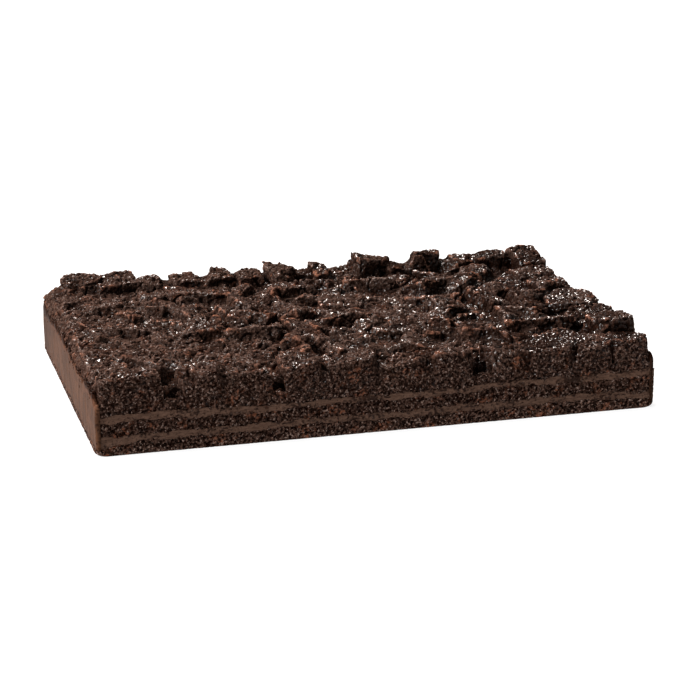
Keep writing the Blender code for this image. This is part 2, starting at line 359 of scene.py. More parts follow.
def crumb_colours(finish, brightness=1.0, contrast=1.0):
    """Dark crumb with painted shade in its pores, paler grains and a few reddish ones."""
    tones = (CRUMB_COLOUR, CRUMB_LIGHT, CRUMB_RED)
    colour, light, red = ([channel * brightness for channel in tone] for tone in tones)
    # Black pores: painted shade in the crumb's holes.
    pores = finish.step(finish.grain(1.25 * MM, 3, 0.55), 0.40, 0.55)
    grains = finish.step(finish.grain(0.8 * MM, 2, 0.5), 0.36, 0.60)
    solid = 1 - contrast * (1 - pores * (0.25 + 0.75 * grains))
    body = finish.blend(solid, CRUMB_SHADE, colour)
    specks = finish.step(finish.grain(1.05 * MM, 2, 0.5), 0.58, 0.68)
    body = finish.blend(specks * contrast * 0.55, body, light)
    rust = finish.step(finish.grain(9 * MM, 3, 0.6), 0.52, 0.66)
    rust = rust * finish.step(finish.grain(1.5 * MM, 3, 0.6), 0.47, 0.58)
    body = finish.blend(rust * 0.7, body, red)
    # The mark 'dark' paints more shade in pits of the mesh; on the cream and the icing it marks
    # stuck crumbs.
    return finish.blend(finish.mark("dark") * contrast * 0.7, body, CRUMB_SHADE)


CRUMB_SHEEN = {"Specular IOR Level": 0.003}


def raise_crumb(finish):
    """Grains in the shading, too fine for the mesh."""
    grains = finish.cells(1.1 * MM) * 0.7 + finish.grain(0.8 * MM, 3, 0.6)
    finish.relief(grains, 0.6 * MM, 0.9)


sponge = Finish("dark_sponge", CRUMB_SHEEN)
# The lowest sheet is painted paler than the one above: painted light that makes up for the dimmer
# light near the floor.
upper_sheet = crumb_colours(sponge, 1.4)
lowest_sheet_painted_lighter = crumb_colours(sponge, 1.85)
in_the_lowest = 1 - sponge.step(sponge.along("Z"), 7 * MM, 9.5 * MM)
sponge.colour(sponge.blend(in_the_lowest, upper_sheet, lowest_sheet_painted_lighter))
sponge.dullness(0.95 - 0.35 * sponge.grain(1.6 * MM, 2))
raise_crumb(sponge)

FOOT_TOP = 3.2 * MM
FOOT_DEPTH = 6 * MM
FOOT_CELL = 0.9 * MM
FOOT_ROWS = 4
FOOT_CRUMB = 0.3


def foot_skin(point, share):
    """The foot's crumbly side, just inside the icing's face."""
    z = FOOT_TOP * share
    depth, _ = open_crumb(Vector((point.x, point.y, z)) / MM)
    return FOOT_CRUMB * depth * MM, z


BASE_FACE = layer_face(BASE_TOP, 0.4)
base = cut_layer(lambda x, y: 0.0, BASE_FACE, SPONGE_ROWS, pressed_crumb)
foot = side_strip(FOOT_CELL, FOOT_ROWS, FOOT_DEPTH, foot_skin)
add_piece("bottom_sponge", join([base, foot]), sponge, "sponge", "sponge_base")

# --- Lower cream -----------------------------------------------------------------------------
# Chocolate cream spread 3 to 4 mm thick on the bottom sponge. The knife has smoothed it and has
# dragged crumbs along it.

LOWER_CREAM_TOP = millimetres(9.9, 10.0, 10.3, 10.1, 10.4, 10.1, 9.8, 10.4, 10.7, 10.6, 10.8, 7.9)
LOWER_CREAM_FACE = layer_face(LOWER_CREAM_TOP, 1.9)
CREAM_ROWS = 9
CREAM_COLOUR = (0.118, 0.067, 0.047)
CREAM_SHADE = (0.074, 0.040, 0.027)


def smeared_cream(p):
    """Depth of the shallow ridges that the knife left, and how much crumb sticks there.

    The crumbs stick in clumps, and slightly more of them towards the right.
    """
    drag = 0.25 * noise.noise((p.x / 9, 0, p.z / 1.1))
    swell = 0.3 * noise.noise((p.x / 5 + 30, 0, p.z / 3))
    specks = noise.noise((p.x / 1.7, 5, p.z / 1.1)) + 0.4 * noise.noise((p.x / 6, 9, p.z / 2.5))
    clumps = 0.85 * noise.noise((p.x / 19, 17, p.z / 9)) + 0.0004 * p.x
    stuck = ease(specks + clumps, 0.15, 0.36)
    return max(0.0, 0.55 + drag + swell - 0.35 * stuck), stuck


cream = Finish("chocolate_cream", {"Specular IOR Level": 0.03, "Roughness": 0.5})
streaks = cream.grain(0.9 * MM, 4, 0.65, cream.drawn_out((0.2, 1, 1)))
pricks = cream.step(cream.grain(1.1 * MM, 3, 0.65), 0.57, 0.65)
spread = cream.blend(cream.step(streaks, 0.34, 0.62), CREAM_SHADE, CREAM_COLOUR)
spread = cream.blend(pricks * 0.55, spread, CRUMB_SHADE)
cream.colour(cream.blend(cream.mark("dark") * 0.9, spread, crumb_colours(cream, 1.15)))
cream.relief(streaks + pricks * 0.8, 0.25 * MM, 0.6)

lower_cream = cut_layer(BASE_FACE, LOWER_CREAM_FACE, CREAM_ROWS, smeared_cream)
add_piece("lower_cream", lower_cream, cream, "cream", "cream_lower")

# --- Middle sponge ---------------------------------------------------------------------------
# A second sheet of the same dark sponge, about 7 mm thick, laid on the lower cream and cut
# through with it.

MIDDLE_TOP = millimetres(16.8, 17.4, 16.7, 15.9, 16.9, 17.2, 16.7, 16.6, 18.3, 17.5, 17.4, 17.8)
MIDDLE_FACE = layer_face(MIDDLE_TOP, 3.1)
middle = cut_layer(LOWER_CREAM_FACE, MIDDLE_FACE, SPONGE_ROWS, open_crumb)
add_piece("middle_sponge", middle, sponge, "sponge", "sponge_middle")

# --- Upper cream -----------------------------------------------------------------------------
# The same cream again, spread 3 to 4 mm thick on the middle sponge. The chunks of cake are
# pressed into it.

UPPER_CREAM_TOP = millimetres(
    21.0, 21.6, 21.1, 19.9, 19.8, 20.0, 19.8, 19.8, 21.2, 21.2, 20.9, 21.8
)
UPPER_CREAM_FACE = layer_face(UPPER_CREAM_TOP, 4.6)
upper_cream = cut_layer(MIDDLE_FACE, UPPER_CREAM_FACE, CREAM_ROWS, smeared_cream)
add_piece("upper_cream", upper_cream, cream, "cream", "cream_upper")

# --- Side icing ------------------------------------------------------------------------------
# Smooth milk-brown icing, 2.6 mm thick, on the left, the back and the right. It stops short of
# the foot, and crumbs have broken its upper edge.

ICING_FOOT, ICING_FOOT_WAVE = 1.9 * MM, 0.9 * MM
ICING_TOP, ICING_TOP_WAVE = 29 * MM, 1.1 * MM
ICING_NIBBLE = 2.3 * MM
ICING_END_DROP, ICING_END_LENGTH = 3 * MM, 9 * MM
ICING_CELL = 0.85 * MM
ICING_END_RADIUS = 1.1 * MM
ICING_SLOPE, ICING_LIP = 0.9 * MM, 0.5 * MM
RIGHT_END_SETBACK = 0.7 * MM


def icing_top(x, y):
    """The icing's uneven upper edge, lower at the two cut ends and nibbled by crumbs."""
    wave = math.sin(x / (27 * MM) + 1.3) * math.sin(y / (17 * MM) + 0.6)
    near_cut = max(0.0, 1 - (y - FRONT_Y) / ICING_END_LENGTH)
    nibbled = 1.5 * noise.noise((x / MM / 7, y / MM / 7, 3))
    nibbled += 0.9 * noise.noise((x / MM / 2.2, y / MM / 2.2, 8))
    top = ICING_TOP + ICING_TOP_WAVE * wave + ICING_NIBBLE * nibbled
    return top - ICING_END_DROP * near_cut


def icing_skin(point, share):
    """The icing's face: slightly wavy from the palette knife, rounded at its foot, top and ends."""
    x, y = point / MM
    foot = ICING_FOOT + ICING_FOOT_WAVE * max(0.0, noise.noise((x / 2.1, y / 2.1, 6)))
    z = foot + (icing_top(point.x, point.y) - foot) * share
    smear = 0.3 * noise.noise((x / 24, y / 24, z / MM / 11))
    smear += 0.12 * noise.noise((x / 4, y / 4, z / MM / 9))
    from_end = point.y - FRONT_Y - (RIGHT_END_SETBACK if x > 0 else 0.0)
    end = min(ICING_END_RADIUS, max(0.0, ICING_END_RADIUS - from_end))
    rounded = ICING_END_RADIUS - math.sqrt(ICING_END_RADIUS**2 - end**2)
    slope = ICING_SLOPE * max(0.0, (share - 0.90) / 0.10) ** 2
    lip = ICING_LIP * max(0.0, (0.06 - share) / 0.06) ** 2
    return max(0.02, 0.3 - smear) * MM + rounded + slope + lip, z


icing_rows = round(ICING_TOP / ICING_CELL)
strip = side_strip(ICING_CELL, icing_rows, ICING_THICKNESS + 0.1 * MM, icing_skin)
crumbed = strip.verts.layers.float["dark"]
for v in strip.verts:
    p = v.co / MM
    from_cut = v.co.y - FRONT_Y + 0.8 * MM * noise.noise((p.x / 2, p.y / 2, p.z / 2))
    stuck = 1.0 if v.co.x > 0 else ease(noise.noise(p / 1.3), 0.0, 0.25)
    v[crumbed] = stuck * (1 - ease(from_cut, 0.8 * MM, 2.4 * MM))

ICING_COLOUR = (0.098, 0.044, 0.0245)
ICING_SHADE = (0.055, 0.025, 0.014)
ICING_DARK_TONE = (0.026, 0.014, 0.010)
icing = Finish("milk_chocolate_icing", {"Specular IOR Level": 0.01, "Roughness": 0.5})
brushed = icing.drawn_out((0.7, 0.7, 0.55))
cloudy = icing.step(icing.grain(6 * MM, 5, 0.7, brushed, 0.6), 0.34, 0.62)
coat = icing.blend(cloudy, ICING_SHADE, ICING_COLOUR)
broad = icing.step(icing.grain(38 * MM, 3, 0.6, brushed), 0.40, 0.65)
coat = icing.blend(broad * 0.35, coat, ICING_SHADE)
left_side = 1 - icing.step(icing.along("X"), -146 * MM, -125 * MM)
far_corner = icing.step(icing.along("Y"), 25 * MM, 92 * MM) * left_side
fraying = icing.along("Z") + 12 * MM * icing.grain(5 * MM, 5, 0.75) + far_corner * (5 * MM)
near_edge = icing.step(fraying, 29 * MM, 37 * MM)
# Painted shadow of the heap's overhang, partly dark crumbs, darkens the icing's upper edge.
overhang_shadow_and_crumbs = icing.step(fraying, 32.8 * MM, 34.6 * MM)
# Painted shade along the icing's foot.
foot_shade = 1 - icing.step(fraying, 8.8 * MM, 10.6 * MM)
smudged = icing.step(icing.grain(1.5 * MM, 4, 0.65), 0.50, 0.66)
coat = icing.blend(smudged * (0.3 + 0.6 * near_edge), coat, ICING_DARK_TONE)
coat = icing.blend(near_edge * 0.55, coat, CRUMB_RED)
coat = icing.blend(overhang_shadow_and_crumbs * 0.85, coat, CRUMB_SHADE)
coat = icing.blend(foot_shade * 0.85, coat, CRUMB_SHADE)
# Darker towards the back of the left side.
coat = icing.blend(far_corner * 0.4, coat, ICING_DARK_TONE)
icing.colour(icing.blend(icing.mark("dark") * 0.85, coat, crumb_colours(icing)))
icing.relief(icing.grain(1.6 * MM, 4, 0.6, brushed), 0.35 * MM, 0.6)
add_piece("side_icing_coat", strip, icing, "icing", "side_icing")

# --- Chunks of cake --------------------------------------------------------------------------
# Torn pieces of dark cake, 15 to 34 mm long, heaped over the upper cream and glazed. The knife
# went through the front row with the layers, and the sides' rows reach over the icing's edge.

CHUNK_SEED = 41
CORNER_SHAKE = 0.13
ROW_PITCH = 21.5 * MM
COLUMN_PITCH = 24 * MM
FIRST_ROW_Y = FRONT_Y + 31 * MM
FIRST_COLUMN_X = -132 * MM
ROW_COUNT = 7
COLUMN_COUNT = 11
SMALL_CHUNKS = 18
FRONT_ROW = (
    (-147, -113, 42),
    (-105, -84, 41.5),
    (-84, -59, 40),
    (-52, -33, 43.5),
    (-33, -3, 42),
    (-3, 28, 40),
    (28, 49, 40.5),
    (60, 80, 40.5),
    (80, 103, 41),
    (103, 126, 39.5),
    (126, 146, 42),
)
FRONT_ROW_DEPTH = 24 * MM
FRONT_ROW_FOOT = 18
FRONT_ROW_OVERLAP = 1.5
FRONT_ROW_OVERHANG = 4 * MM
BACK_ROW = (
    (-139, 15, 40.5, 0),
    (-127, 20, 46, 0),
    (-109.5, 22, 45.8, 0),
    (-88.5, 15, 42, 0),
    (-68, 17, 42, 0),
    (-50.5, 20, 43.6, 0),
    (-30, 16, 43, 0),
    (-10, 17, 45, 0),
    (13, 10, 43, 0),
    (26, 17, 38.5, 0),
    (41, 19, 47.8, 0.32),
    (60, 18, 42, 0),
    (77.5, 17, 47.8, 0.4),
    (104, 16, 41.8, 0.05),
    (117, 20, 43.4, 0),
)
BACK_ROW_DEPTH = 18 * MM
RIGHT_ROW = (
    (77.5, 25, 46.5, 17),
    (50, 20, 41, 25),
    (24, 24, 43.2, 25),
    (-13, 28, 43.3, 25),
    (-42, 20, 42, 25),
    (-66, 19, 45.6, 22),
)
EDGE_ROW_HEIGHT = 20 * MM
HEAP_X = INNER_X - 0.3 * MM
HEAP_BACK_Y = INNER_BACK_Y - 0.3 * MM
CHUNK_WIDTHS, CHUNK_DEPTHS, CHUNK_HEIGHTS = (17, 29), (14, 23), (13, 20)
CHUNK_TOPS, LEFT_CHUNK_TOPS = (36, 44.5), (36.5, 42)
FLAT_END = -45 * MM
FLANK, FLANK_DROP = 20 * MM, 5 * MM
SMALL_SIZES, SMALL_TOPS = (8, 14), (39, 44)


def heap_layout():
    """Each chunk's middle and highest point, its size, its turn about Z, its tilt about X and Y.

    The rows are given in millimetres: FRONT_ROW by left, right and top, BACK_ROW by middle, width,
    top and lean, and RIGHT_ROW by middle, depth, top and width.
    """
    draw = random.Random(CHUNK_SEED)
    chunks = []
    for left, right, top in FRONT_ROW:
        width, height = (right - left + FRONT_ROW_OVERLAP) * MM, (top - FRONT_ROW_FOOT) * MM
        depth = FRONT_ROW_DEPTH * draw.uniform(0.9, 1.15)
        middle_y = FRONT_Y + depth / 2 - FRONT_ROW_OVERHANG
        place = ((left + right) / 2 * MM, middle_y, top * MM)
        tilt = (draw.uniform(-0.06, 0.1), draw.uniform(-0.07, 0.07))
        chunks.append((place, (width, depth, height), draw.uniform(-0.08, 0.08), tilt))
    for x, width, top, lean in BACK_ROW:
        depth = BACK_ROW_DEPTH * draw.uniform(0.95, 1.2)
        place = (x * MM, BACK_Y - ICING_THICKNESS - depth / 2, top * MM)
        tilt = (draw.uniform(-0.12, 0.12), lean + draw.uniform(-0.12, 0.12))
        size = (width * MM, depth, EDGE_ROW_HEIGHT)
        chunks.append((place, size, draw.uniform(-0.25, 0.25), tilt))
    for y, depth, top, width in RIGHT_ROW:
        width *= draw.uniform(0.95, 1.15) * MM
        place = (LENGTH / 2 - ICING_THICKNESS - width / 2, y * MM, top * MM)
        tilt = (draw.uniform(-0.16, 0.16), draw.uniform(-0.12, 0.12))
        size = (width, depth * MM, EDGE_ROW_HEIGHT)
        chunks.append((place, size, draw.uniform(-0.2, 0.2), tilt))
    for row in range(ROW_COUNT):
        for column in range(COLUMN_COUNT):
            stagger = 0.25 if row % 2 else -0.25
            x = FIRST_COLUMN_X + COLUMN_PITCH * (column + stagger) + draw.uniform(-4, 4) * MM
            y = FIRST_ROW_Y + ROW_PITCH * row + draw.uniform(-3.5, 3.5) * MM
            size = tuple(
                draw.uniform(*span) * MM for span in (CHUNK_WIDTHS, CHUNK_DEPTHS, CHUNK_HEIGHTS)
            )
            top = draw.uniform(*(LEFT_CHUNK_TOPS if x < FLAT_END else CHUNK_TOPS)) * MM
            tilt = (draw.uniform(-0.45, 0.35), draw.uniform(-0.4, 0.4))
            turn = draw.uniform(-0.9, 0.9)
            x = max(x, -HEAP_X + 8 * MM)
            top -= FLANK_DROP * max(0.0, 1 - (x + HEAP_X) / FLANK)
            chunks.append(((x, y, top), size, turn, tilt))
    for _ in range(SMALL_CHUNKS):
        x = draw.uniform(-0.92, 0.92) * HEAP_X
        y = draw.uniform(FRONT_Y + 16 * MM, HEAP_BACK_Y - 14 * MM)
        size = tuple(draw.uniform(*SMALL_SIZES) * MM for _ in range(3))
        tilt = (draw.uniform(-0.8, 0.8), draw.uniform(-0.8, 0.8))
        place = (x, y, draw.uniform(*SMALL_TOPS) * MM)
        chunks.append((place, size, draw.uniform(0, math.pi), tilt))
    return chunks


def slice_off(bm, point, outwards):
    """Takes off what lies beyond a plane and closes the mesh again."""
    bmesh.ops.bisect_plane(
        bm,
        geom=[*bm.verts, *bm.edges, *bm.faces],
        plane_co=point,
        plane_no=outwards,
        clear_outer=True,
    )
    bmesh.ops.holes_fill(bm, edges=[e for e in bm.edges if e.is_boundary], sides=0)


SLABS = (
    (-134, 4, 44, -1.45, 40.5),
    (-143, 46, 14, -0.3, 37),
    (-118, -7, 26, -0.6, 42),
    (-84, 21, 38, -1.2, 43),
    (-79, -23, 24, -0.1, 42.5),
    (-54, -26, 30, 0.0, 42.5),
    (-21, 11, 26, -1.2, 42.5),
    (-25, -38, 48, -1.4, 42.5),
    (-119, -64, 28, -0.9, 41.5),
    (-56, 11, 30, -1.4, 41.5),
    (-44, 1, 24, -0.8, 42.5),
    (-123, 38, 25, -0.1, 41.5),
    (-2, -15, 28, 0.25, 43),
    (87, 0, 32, -1.45, 43.5),
    (87, -33, 28, -1.55, 43.5),
    (61, -7, 24, -1.3, 43.5),
    (106, -48, 37, -0.2, 43),
    (71, -62, 42, -0.35, 42.5),
    (57, -33, 26, 0.5, 42.5),
    (114, -76, 44, -0.3, 42.5),
    (11, -15, 23, -0.7, 43.5),
    (29, -37, 22, 0.1, 42.5),
    (2, -52, 40, -1.55, 41.5),
    (108, -9, 30, -1.55, 43.5),
    (-68, 52, 34, -0.2, 42.5),
    (-12, 48, 32, 0.2, 42),
    (34, 52, 30, -0.4, 42.5),
    (72, 44, 34, 0.1, 42.5),
)
SLAB_DEPTHS, SLAB_HEIGHTS, SLAB_LEAN = (9, 14), (10, 13), -0.32
FILL_CHUNKS, FILL_TOPS = 16, (34, 39.5)
FILL_WIDTHS, FILL_DEPTHS, FILL_HEIGHTS = (12, 22), (8, 13), (6, 9)


def filler():
    """Slabs that lean so that one long edge stands up, and small pieces for the low places.

    SLABS gives the middle, length, turn and top of each slab.
    """
    draw = random.Random(CHUNK_SEED + 1)
    pieces = []
    for x, y, length, turn, top in SLABS:
        size = (length * MM, draw.uniform(*SLAB_DEPTHS) * MM, draw.uniform(*SLAB_HEIGHTS) * MM)
        tilt = (SLAB_LEAN + draw.uniform(-0.12, 0.16), draw.uniform(-0.1, 0.1))
        pieces.append(((x * MM, y * MM, top * MM), size, turn, tilt))
    for _ in range(FILL_CHUNKS):
        x = draw.uniform(-0.97, 0.97) * HEAP_X
        y = draw.uniform(FRONT_Y + 20 * MM, HEAP_BACK_Y - 6 * MM)
        size = tuple(
            draw.uniform(*span) * MM for span in (FILL_WIDTHS, FILL_DEPTHS, FILL_HEIGHTS)
        )
        tilt = (draw.uniform(-0.5, 0.5), draw.uniform(-0.4, 0.4))
        top = draw.uniform(*FILL_TOPS) * MM
        pieces.append(((x, y, top), size, draw.uniform(0, math.pi), tilt))
    return pieces


SIDE_REACH = LENGTH / 2 - 0.8 * MM
BACK_REACH = BACK_Y - 0.8 * MM
TORN_CORNERS = 7
CUT_EDGE_LOSS, CUT_CORNER_LOSS = (0.5, 3.5), (0.6, 3)
CUT_CORNER_DROP = 8 * MM
SKIN_SWELL = 1.2 * MM
SLUMP_FOOT = 29.5 * MM
BANK_FOOT = 17 * MM


def slump(bm, y, foot):
    """Lets the heap slope down to the icing on the left, steeper near the cut."""
    slope = 0.85 + 1.9 * ((BACK_Y - y) / WIDTH) ** 2
    slice_off(bm, (-LENGTH / 2, 0, foot), Vector((-slope, 0, 1)).normalized())


def torn_block(number, place, size, turn, tilt):
    """A cube of cake with its corners knocked about and some of them torn off."""
    shake = random.Random(CHUNK_SEED * 1000 + number)
    bm = bmesh.new()
    bmesh.ops.create_cube(bm, size=1.0)
    for v in bm.verts:
        v.co += Vector([shake.uniform(-CORNER_SHAKE, CORNER_SHAKE) for _ in range(3)])
    bmesh.ops.scale(bm, vec=size, verts=bm.verts)
    for _ in range(TORN_CORNERS):
        away = Vector([shake.choice((-1, 1)) * shake.uniform(0.25, 1) for _ in range(3)])
        away.normalize()
        reach = max(v.co.dot(away) for v in bm.verts)
        slice_off(bm, away * (reach - shake.uniform(0.08, 0.24) * min(size)), away)
    turned = Euler((tilt[0], tilt[1], turn)).to_matrix()
    bmesh.ops.rotate(bm, cent=(0, 0, 0), matrix=turned, verts=bm.verts)
    highest = max(v.co.z for v in bm.verts)
    place = Vector(place) - Vector((0, 0, SKIN_SWELL))
    bmesh.ops.translate(bm, vec=place - Vector((0, 0, highest)), verts=bm.verts)
    if number < len(FRONT_ROW):
        for _ in range(2):
            slope = Vector((shake.uniform(-0.5, 0.5), -0.75, shake.uniform(0.5, 1.1))).normalized()
            edge = Vector((place.x, FRONT_Y, place.z - shake.uniform(*CUT_EDGE_LOSS) * MM))
            slice_off(bm, edge, slope)
        for side in (-1, 1):
            slope = Vector((0.8 * side, -0.65, shake.uniform(0.1, 0.4))).normalized()
            corner = Vector((place.x + side * size[0] / 2, FRONT_Y, place.z - CUT_CORNER_DROP))
            slice_off(bm, corner - slope * shake.uniform(*CUT_CORNER_LOSS) * MM, slope)
    slump(bm, place.y, SLUMP_FOOT + shake.uniform(-1, 2.5) * MM)
    for point, outwards in (
        ((0, FRONT_Y, 0), (0, -1, 0)),
        ((0, BACK_REACH, 0), (0, 1, 0)),
        ((-SIDE_REACH, 0, 0), (-1, 0, 0)),
        ((SIDE_REACH, 0, 0), (1, 0, 0)),
    ):
        slice_off(bm, point, outwards)
    return bm


def bank(x0, x1, y0, y1, top):
    """The crumb that fills the heap between the chunks, up to this height."""
    bm = bmesh.new()
    bmesh.ops.create_cube(bm, size=1.0)
    bmesh.ops.scale(bm, vec=(x1 - x0, y1 - y0, top - BANK_FOOT), verts=bm.verts)
    middle = ((x0 + x1) / 2, (y0 + y1) / 2, (top + BANK_FOOT) / 2)
    bmesh.ops.translate(bm, vec=middle, verts=bm.verts)
    slump(bm, middle[1], SLUMP_FOOT)
    return bm


def fuse(meshes, cell):
    """One skin over all these overlapping closed meshes, in cells of this size."""
    mesh = bpy.data.meshes.new("overlapping")
    whole = join(meshes)
    whole.to_mesh(mesh)
    whole.free()
    lump = bpy.data.objects.new("overlapping", mesh)
    bpy.context.scene.collection.objects.link(lump)
    skin = lump.modifiers.new("skin", "REMESH")
    skin.mode = "VOXEL"
    skin.voxel_size = cell
    fused = bmesh.new()
    fused.from_object(lump, bpy.context.evaluated_depsgraph_get())
    bpy.data.objects.remove(lump)
    bpy.data.meshes.remove(mesh)
    return fused


def smooth(bm, times):
    for _ in range(times):
        bmesh.ops.smooth_vert(
            bm, verts=bm.verts, factor=0.5, use_axis_x=True, use_axis_y=True, use_axis_z=True
        )


CUT_MARGIN = 0.7 * MM
FIRST_PASSES, WEAR_PASSES = 5, 40
PROUD = 1.3
TORN_RELIEF, MEAN_CRUMB_DEPTH = 0.65, 0.45
OVERHANG = 2.3 * MM


def cut_share(v):
    """1 where the knife went through, 0 on torn faces. It has pulled crumb out near the top."""
    behind = ease(v.co.y - FRONT_Y, CUT_MARGIN, 2 * CUT_MARGIN)
    return (1 - behind) * (1 - 0.55 * ease(v.co.z, 29 * MM, 38 * MM))


def torn_lumps(p):
    """How far a torn face stands out at a point in millimetres, in millimetres."""
    ragged = 1.0 * noise.noise(p / 9) + 0.75 * noise.noise(p / 4.4 + Vector((30, 0, 0)))
    crack = 1 - ease(abs(noise.noise(p / 9 + Vector((0, 60, 0)))), 0.01, 0.10)
    return ragged + 0.4 * noise.noise(p / 2.3 + Vector((0, 0, 50))) - 1.3 * crack


def tear(bm):
    """Gives a fused heap its torn faces, ridges and open crumb.

    What stands out from the same heap worn smooth is a ridge, and what lies below it is a hollow.
    The glaze paints highlight on ridges and shade in hollows.
    """
    dark = bm.verts.layers.float.new("dark")
    ridge = bm.verts.layers.float.new("ridge")
    smooth(bm, FIRST_PASSES)
    bm.normal_update()
    moves = [v.normal * torn_lumps(v.co / MM) * MM * (1 - cut_share(v)) for v in bm.verts]
    for v, move in zip(bm.verts, moves):
        v.co += move
    worn = bm.copy()
    smooth(worn, WEAR_PASSES)
    bm.normal_update()
    moves = []
    for v, worn_down in zip(bm.verts, worn.verts):
        proud = (v.co - worn_down.co).dot(v.normal) / MM
        depth, pores = open_crumb(v.co / MM)
        cut = cut_share(v)
        v[ridge] = 0.5 + 0.5 * max(-1.0, min(1.0, proud / PROUD)) * (1 - cut)
        v[dark] = pores
        torn = v.normal * TORN_RELIEF * (MEAN_CRUMB_DEPTH - depth) * MM * (1 - cut)
        moves.append(torn + Vector((0, depth * MM, 0)) * cut)
    worn.free()
    for v, move in zip(bm.verts, moves):
        v.co += move


def keep_in_place(bm, top):
    """Holds the heap behind the cut, inside the icing below its edge, and under its top."""
    for v in bm.verts:
        v.co.z = max(UPPER_CREAM_FACE(v.co.x, v.co.y) + 0.05 * MM, v.co.z)
        over = v.co.z - top
        if over > 0:
            v.co.z = top + 0.4 * over
        above_icing = v.co.z - icing_top(v.co.x, v.co.y)
        reach = ease(above_icing, -1.3 * MM, 0.3 * MM) - 0.9 * ease(above_icing, 1.5 * MM, 4.5 * MM)
        reach *= OVERHANG
        right_reach = max(reach, half_length(v.co.x, v.co.y) - HEAP_X)
        v.co.x = max(-HEAP_X - reach, min(HEAP_X + right_reach, v.co.x))
        v.co.y = max(FRONT_Y, min(HEAP_BACK_Y + reach, v.co.y))


# Ridges of the heap get painted highlight: grey specks, and a reddish-brown that is partly the
# crust's own colour and partly painted highlight.
RIDGE_RUST_AND_HIGHLIGHT = (0.270, 0.108, 0.062)
RIDGE_HIGHLIGHT_GREY = (0.215, 0.170, 0.150)
glazed = Finish("glazed_chunks", {**CRUMB_SHEEN, "Coat Roughness": 0.25, "Coat IOR": 1.75})
across = glazed.along("X")
facing = glazed.node("ShaderNodeNewGeometry", output="Normal")
upward = glazed.step(glazed.along("Z", facing), -0.1, 0.6)
ridges = glazed.mark("ridge")
ridge_highlight = glazed.step(ridges, 0.60, 0.90)
hollow_shade = 1 - glazed.step(ridges, 0.12, 0.52)
torn = glazed.step(glazed.along("Y"), FRONT_Y + 0.8 * MM, FRONT_Y + 2 * MM)

to_the_right = glazed.step(across, 10 * MM, 100 * MM)
darker = glazed.step(glazed.grain(18 * MM, 2, 0.5) + 0.4 * across, 0.46, 0.56)
# Torn faces are darker than the cut: a little everywhere, more in patches and towards the right.
torn_darkening = torn * (0.06 + 0.50 * darker + 0.18 * to_the_right)
highlight_specks = glazed.step(glazed.grain(1.1 * MM, 3, 0.6), 0.45, 0.58)
rusty = 0.15 + 0.85 * glazed.step(glazed.grain(17 * MM, 2, 0.5), 0.44, 0.58)
chunk_tone = glazed.blend(torn_darkening, crumb_colours(glazed, 1.46, 1 - 0.3 * torn), CRUMB_SHADE)
# Painted highlight on the ridges, grey and then reddish-brown.
chunk_tone = glazed.blend(ridge_highlight * highlight_specks * 0.5, chunk_tone, RIDGE_HIGHLIGHT_GREY)
chunk_tone = glazed.blend(ridge_highlight * (0.3 + 0.7 * highlight_specks) * rusty, chunk_tone, RIDGE_RUST_AND_HIGHLIGHT)
# Painted shade in the heap's hollows.
glazed.colour(glazed.blend(hollow_shade * 0.85, chunk_tone, CRUMB_SHADE))

patches = glazed.step(glazed.grain(11 * MM, 3, 0.6) + 0.6 * across, 0.47, 0.62)
syrup = glazed.step(glazed.grain(1.5 * MM, 2, 0.5), 0.46, 0.57)
wetness = upward * syrup * (0.12 + 0.88 * patches) * (0.5 + 0.5 * ridge_highlight)
glazed.dullness(0.9 - 0.3 * wetness)
glazed.feed(glazed.shader.inputs["Coat Weight"], wetness)
raise_crumb(glazed)

HEAP_TOP = 46.6 * MM
FRONT_HEAP_FOOT = 17.6 * MM
FRONT_BANK_SETBACK, FRONT_BANK_TOP = 9 * MM, 31 * MM
SILL_MARGIN, SILL_DEPTH, SILL_TOP = 5.7, 12 * MM, 25.5 * MM
CORE_TOP = 33.5 * MM
LEFT_CORE_TOP = 35.5 * MM
EDGE_BANK_TOP = 36.5 * MM
EDGE_BANK_WIDTH = 13 * MM
BURIED = 27 * MM
FRONT_CELL = 0.52 * MM
HEAP_CELL = 0.66 * MM
FRONT_STRIP_END = FRONT_Y + 24 * MM
STRIP_COUNT = 4

chunks = list(enumerate(heap_layout() + filler()))
front_blocks = [torn_block(number, *recipe) for number, recipe in chunks[: len(FRONT_ROW)]]
bank_front = FRONT_Y + FRONT_BANK_SETBACK
front_blocks.append(bank(-SIDE_REACH, SIDE_REACH, bank_front, FRONT_STRIP_END, FRONT_BANK_TOP))
for left, right, _ in FRONT_ROW:
    x0, x1 = (left - SILL_MARGIN) * MM, (right + SILL_MARGIN) * MM
    front_blocks.append(bank(x0, x1, FRONT_Y, FRONT_Y + SILL_DEPTH, SILL_TOP))
front_heap = fuse(front_blocks, FRONT_CELL)
slice_off(front_heap, (0, 0, FRONT_HEAP_FOOT), (0, 0, -1))
for side in (-1, 1):
    slice_off(front_heap, (side * SIDE_REACH, 0, 0), (side, 0, 0))
tear(front_heap)
keep_in_place(front_heap, HEAP_TOP)
heap_pieces = [add_piece("front_chunks", front_heap, glazed, "chunks", "cake_chunk_topping")]

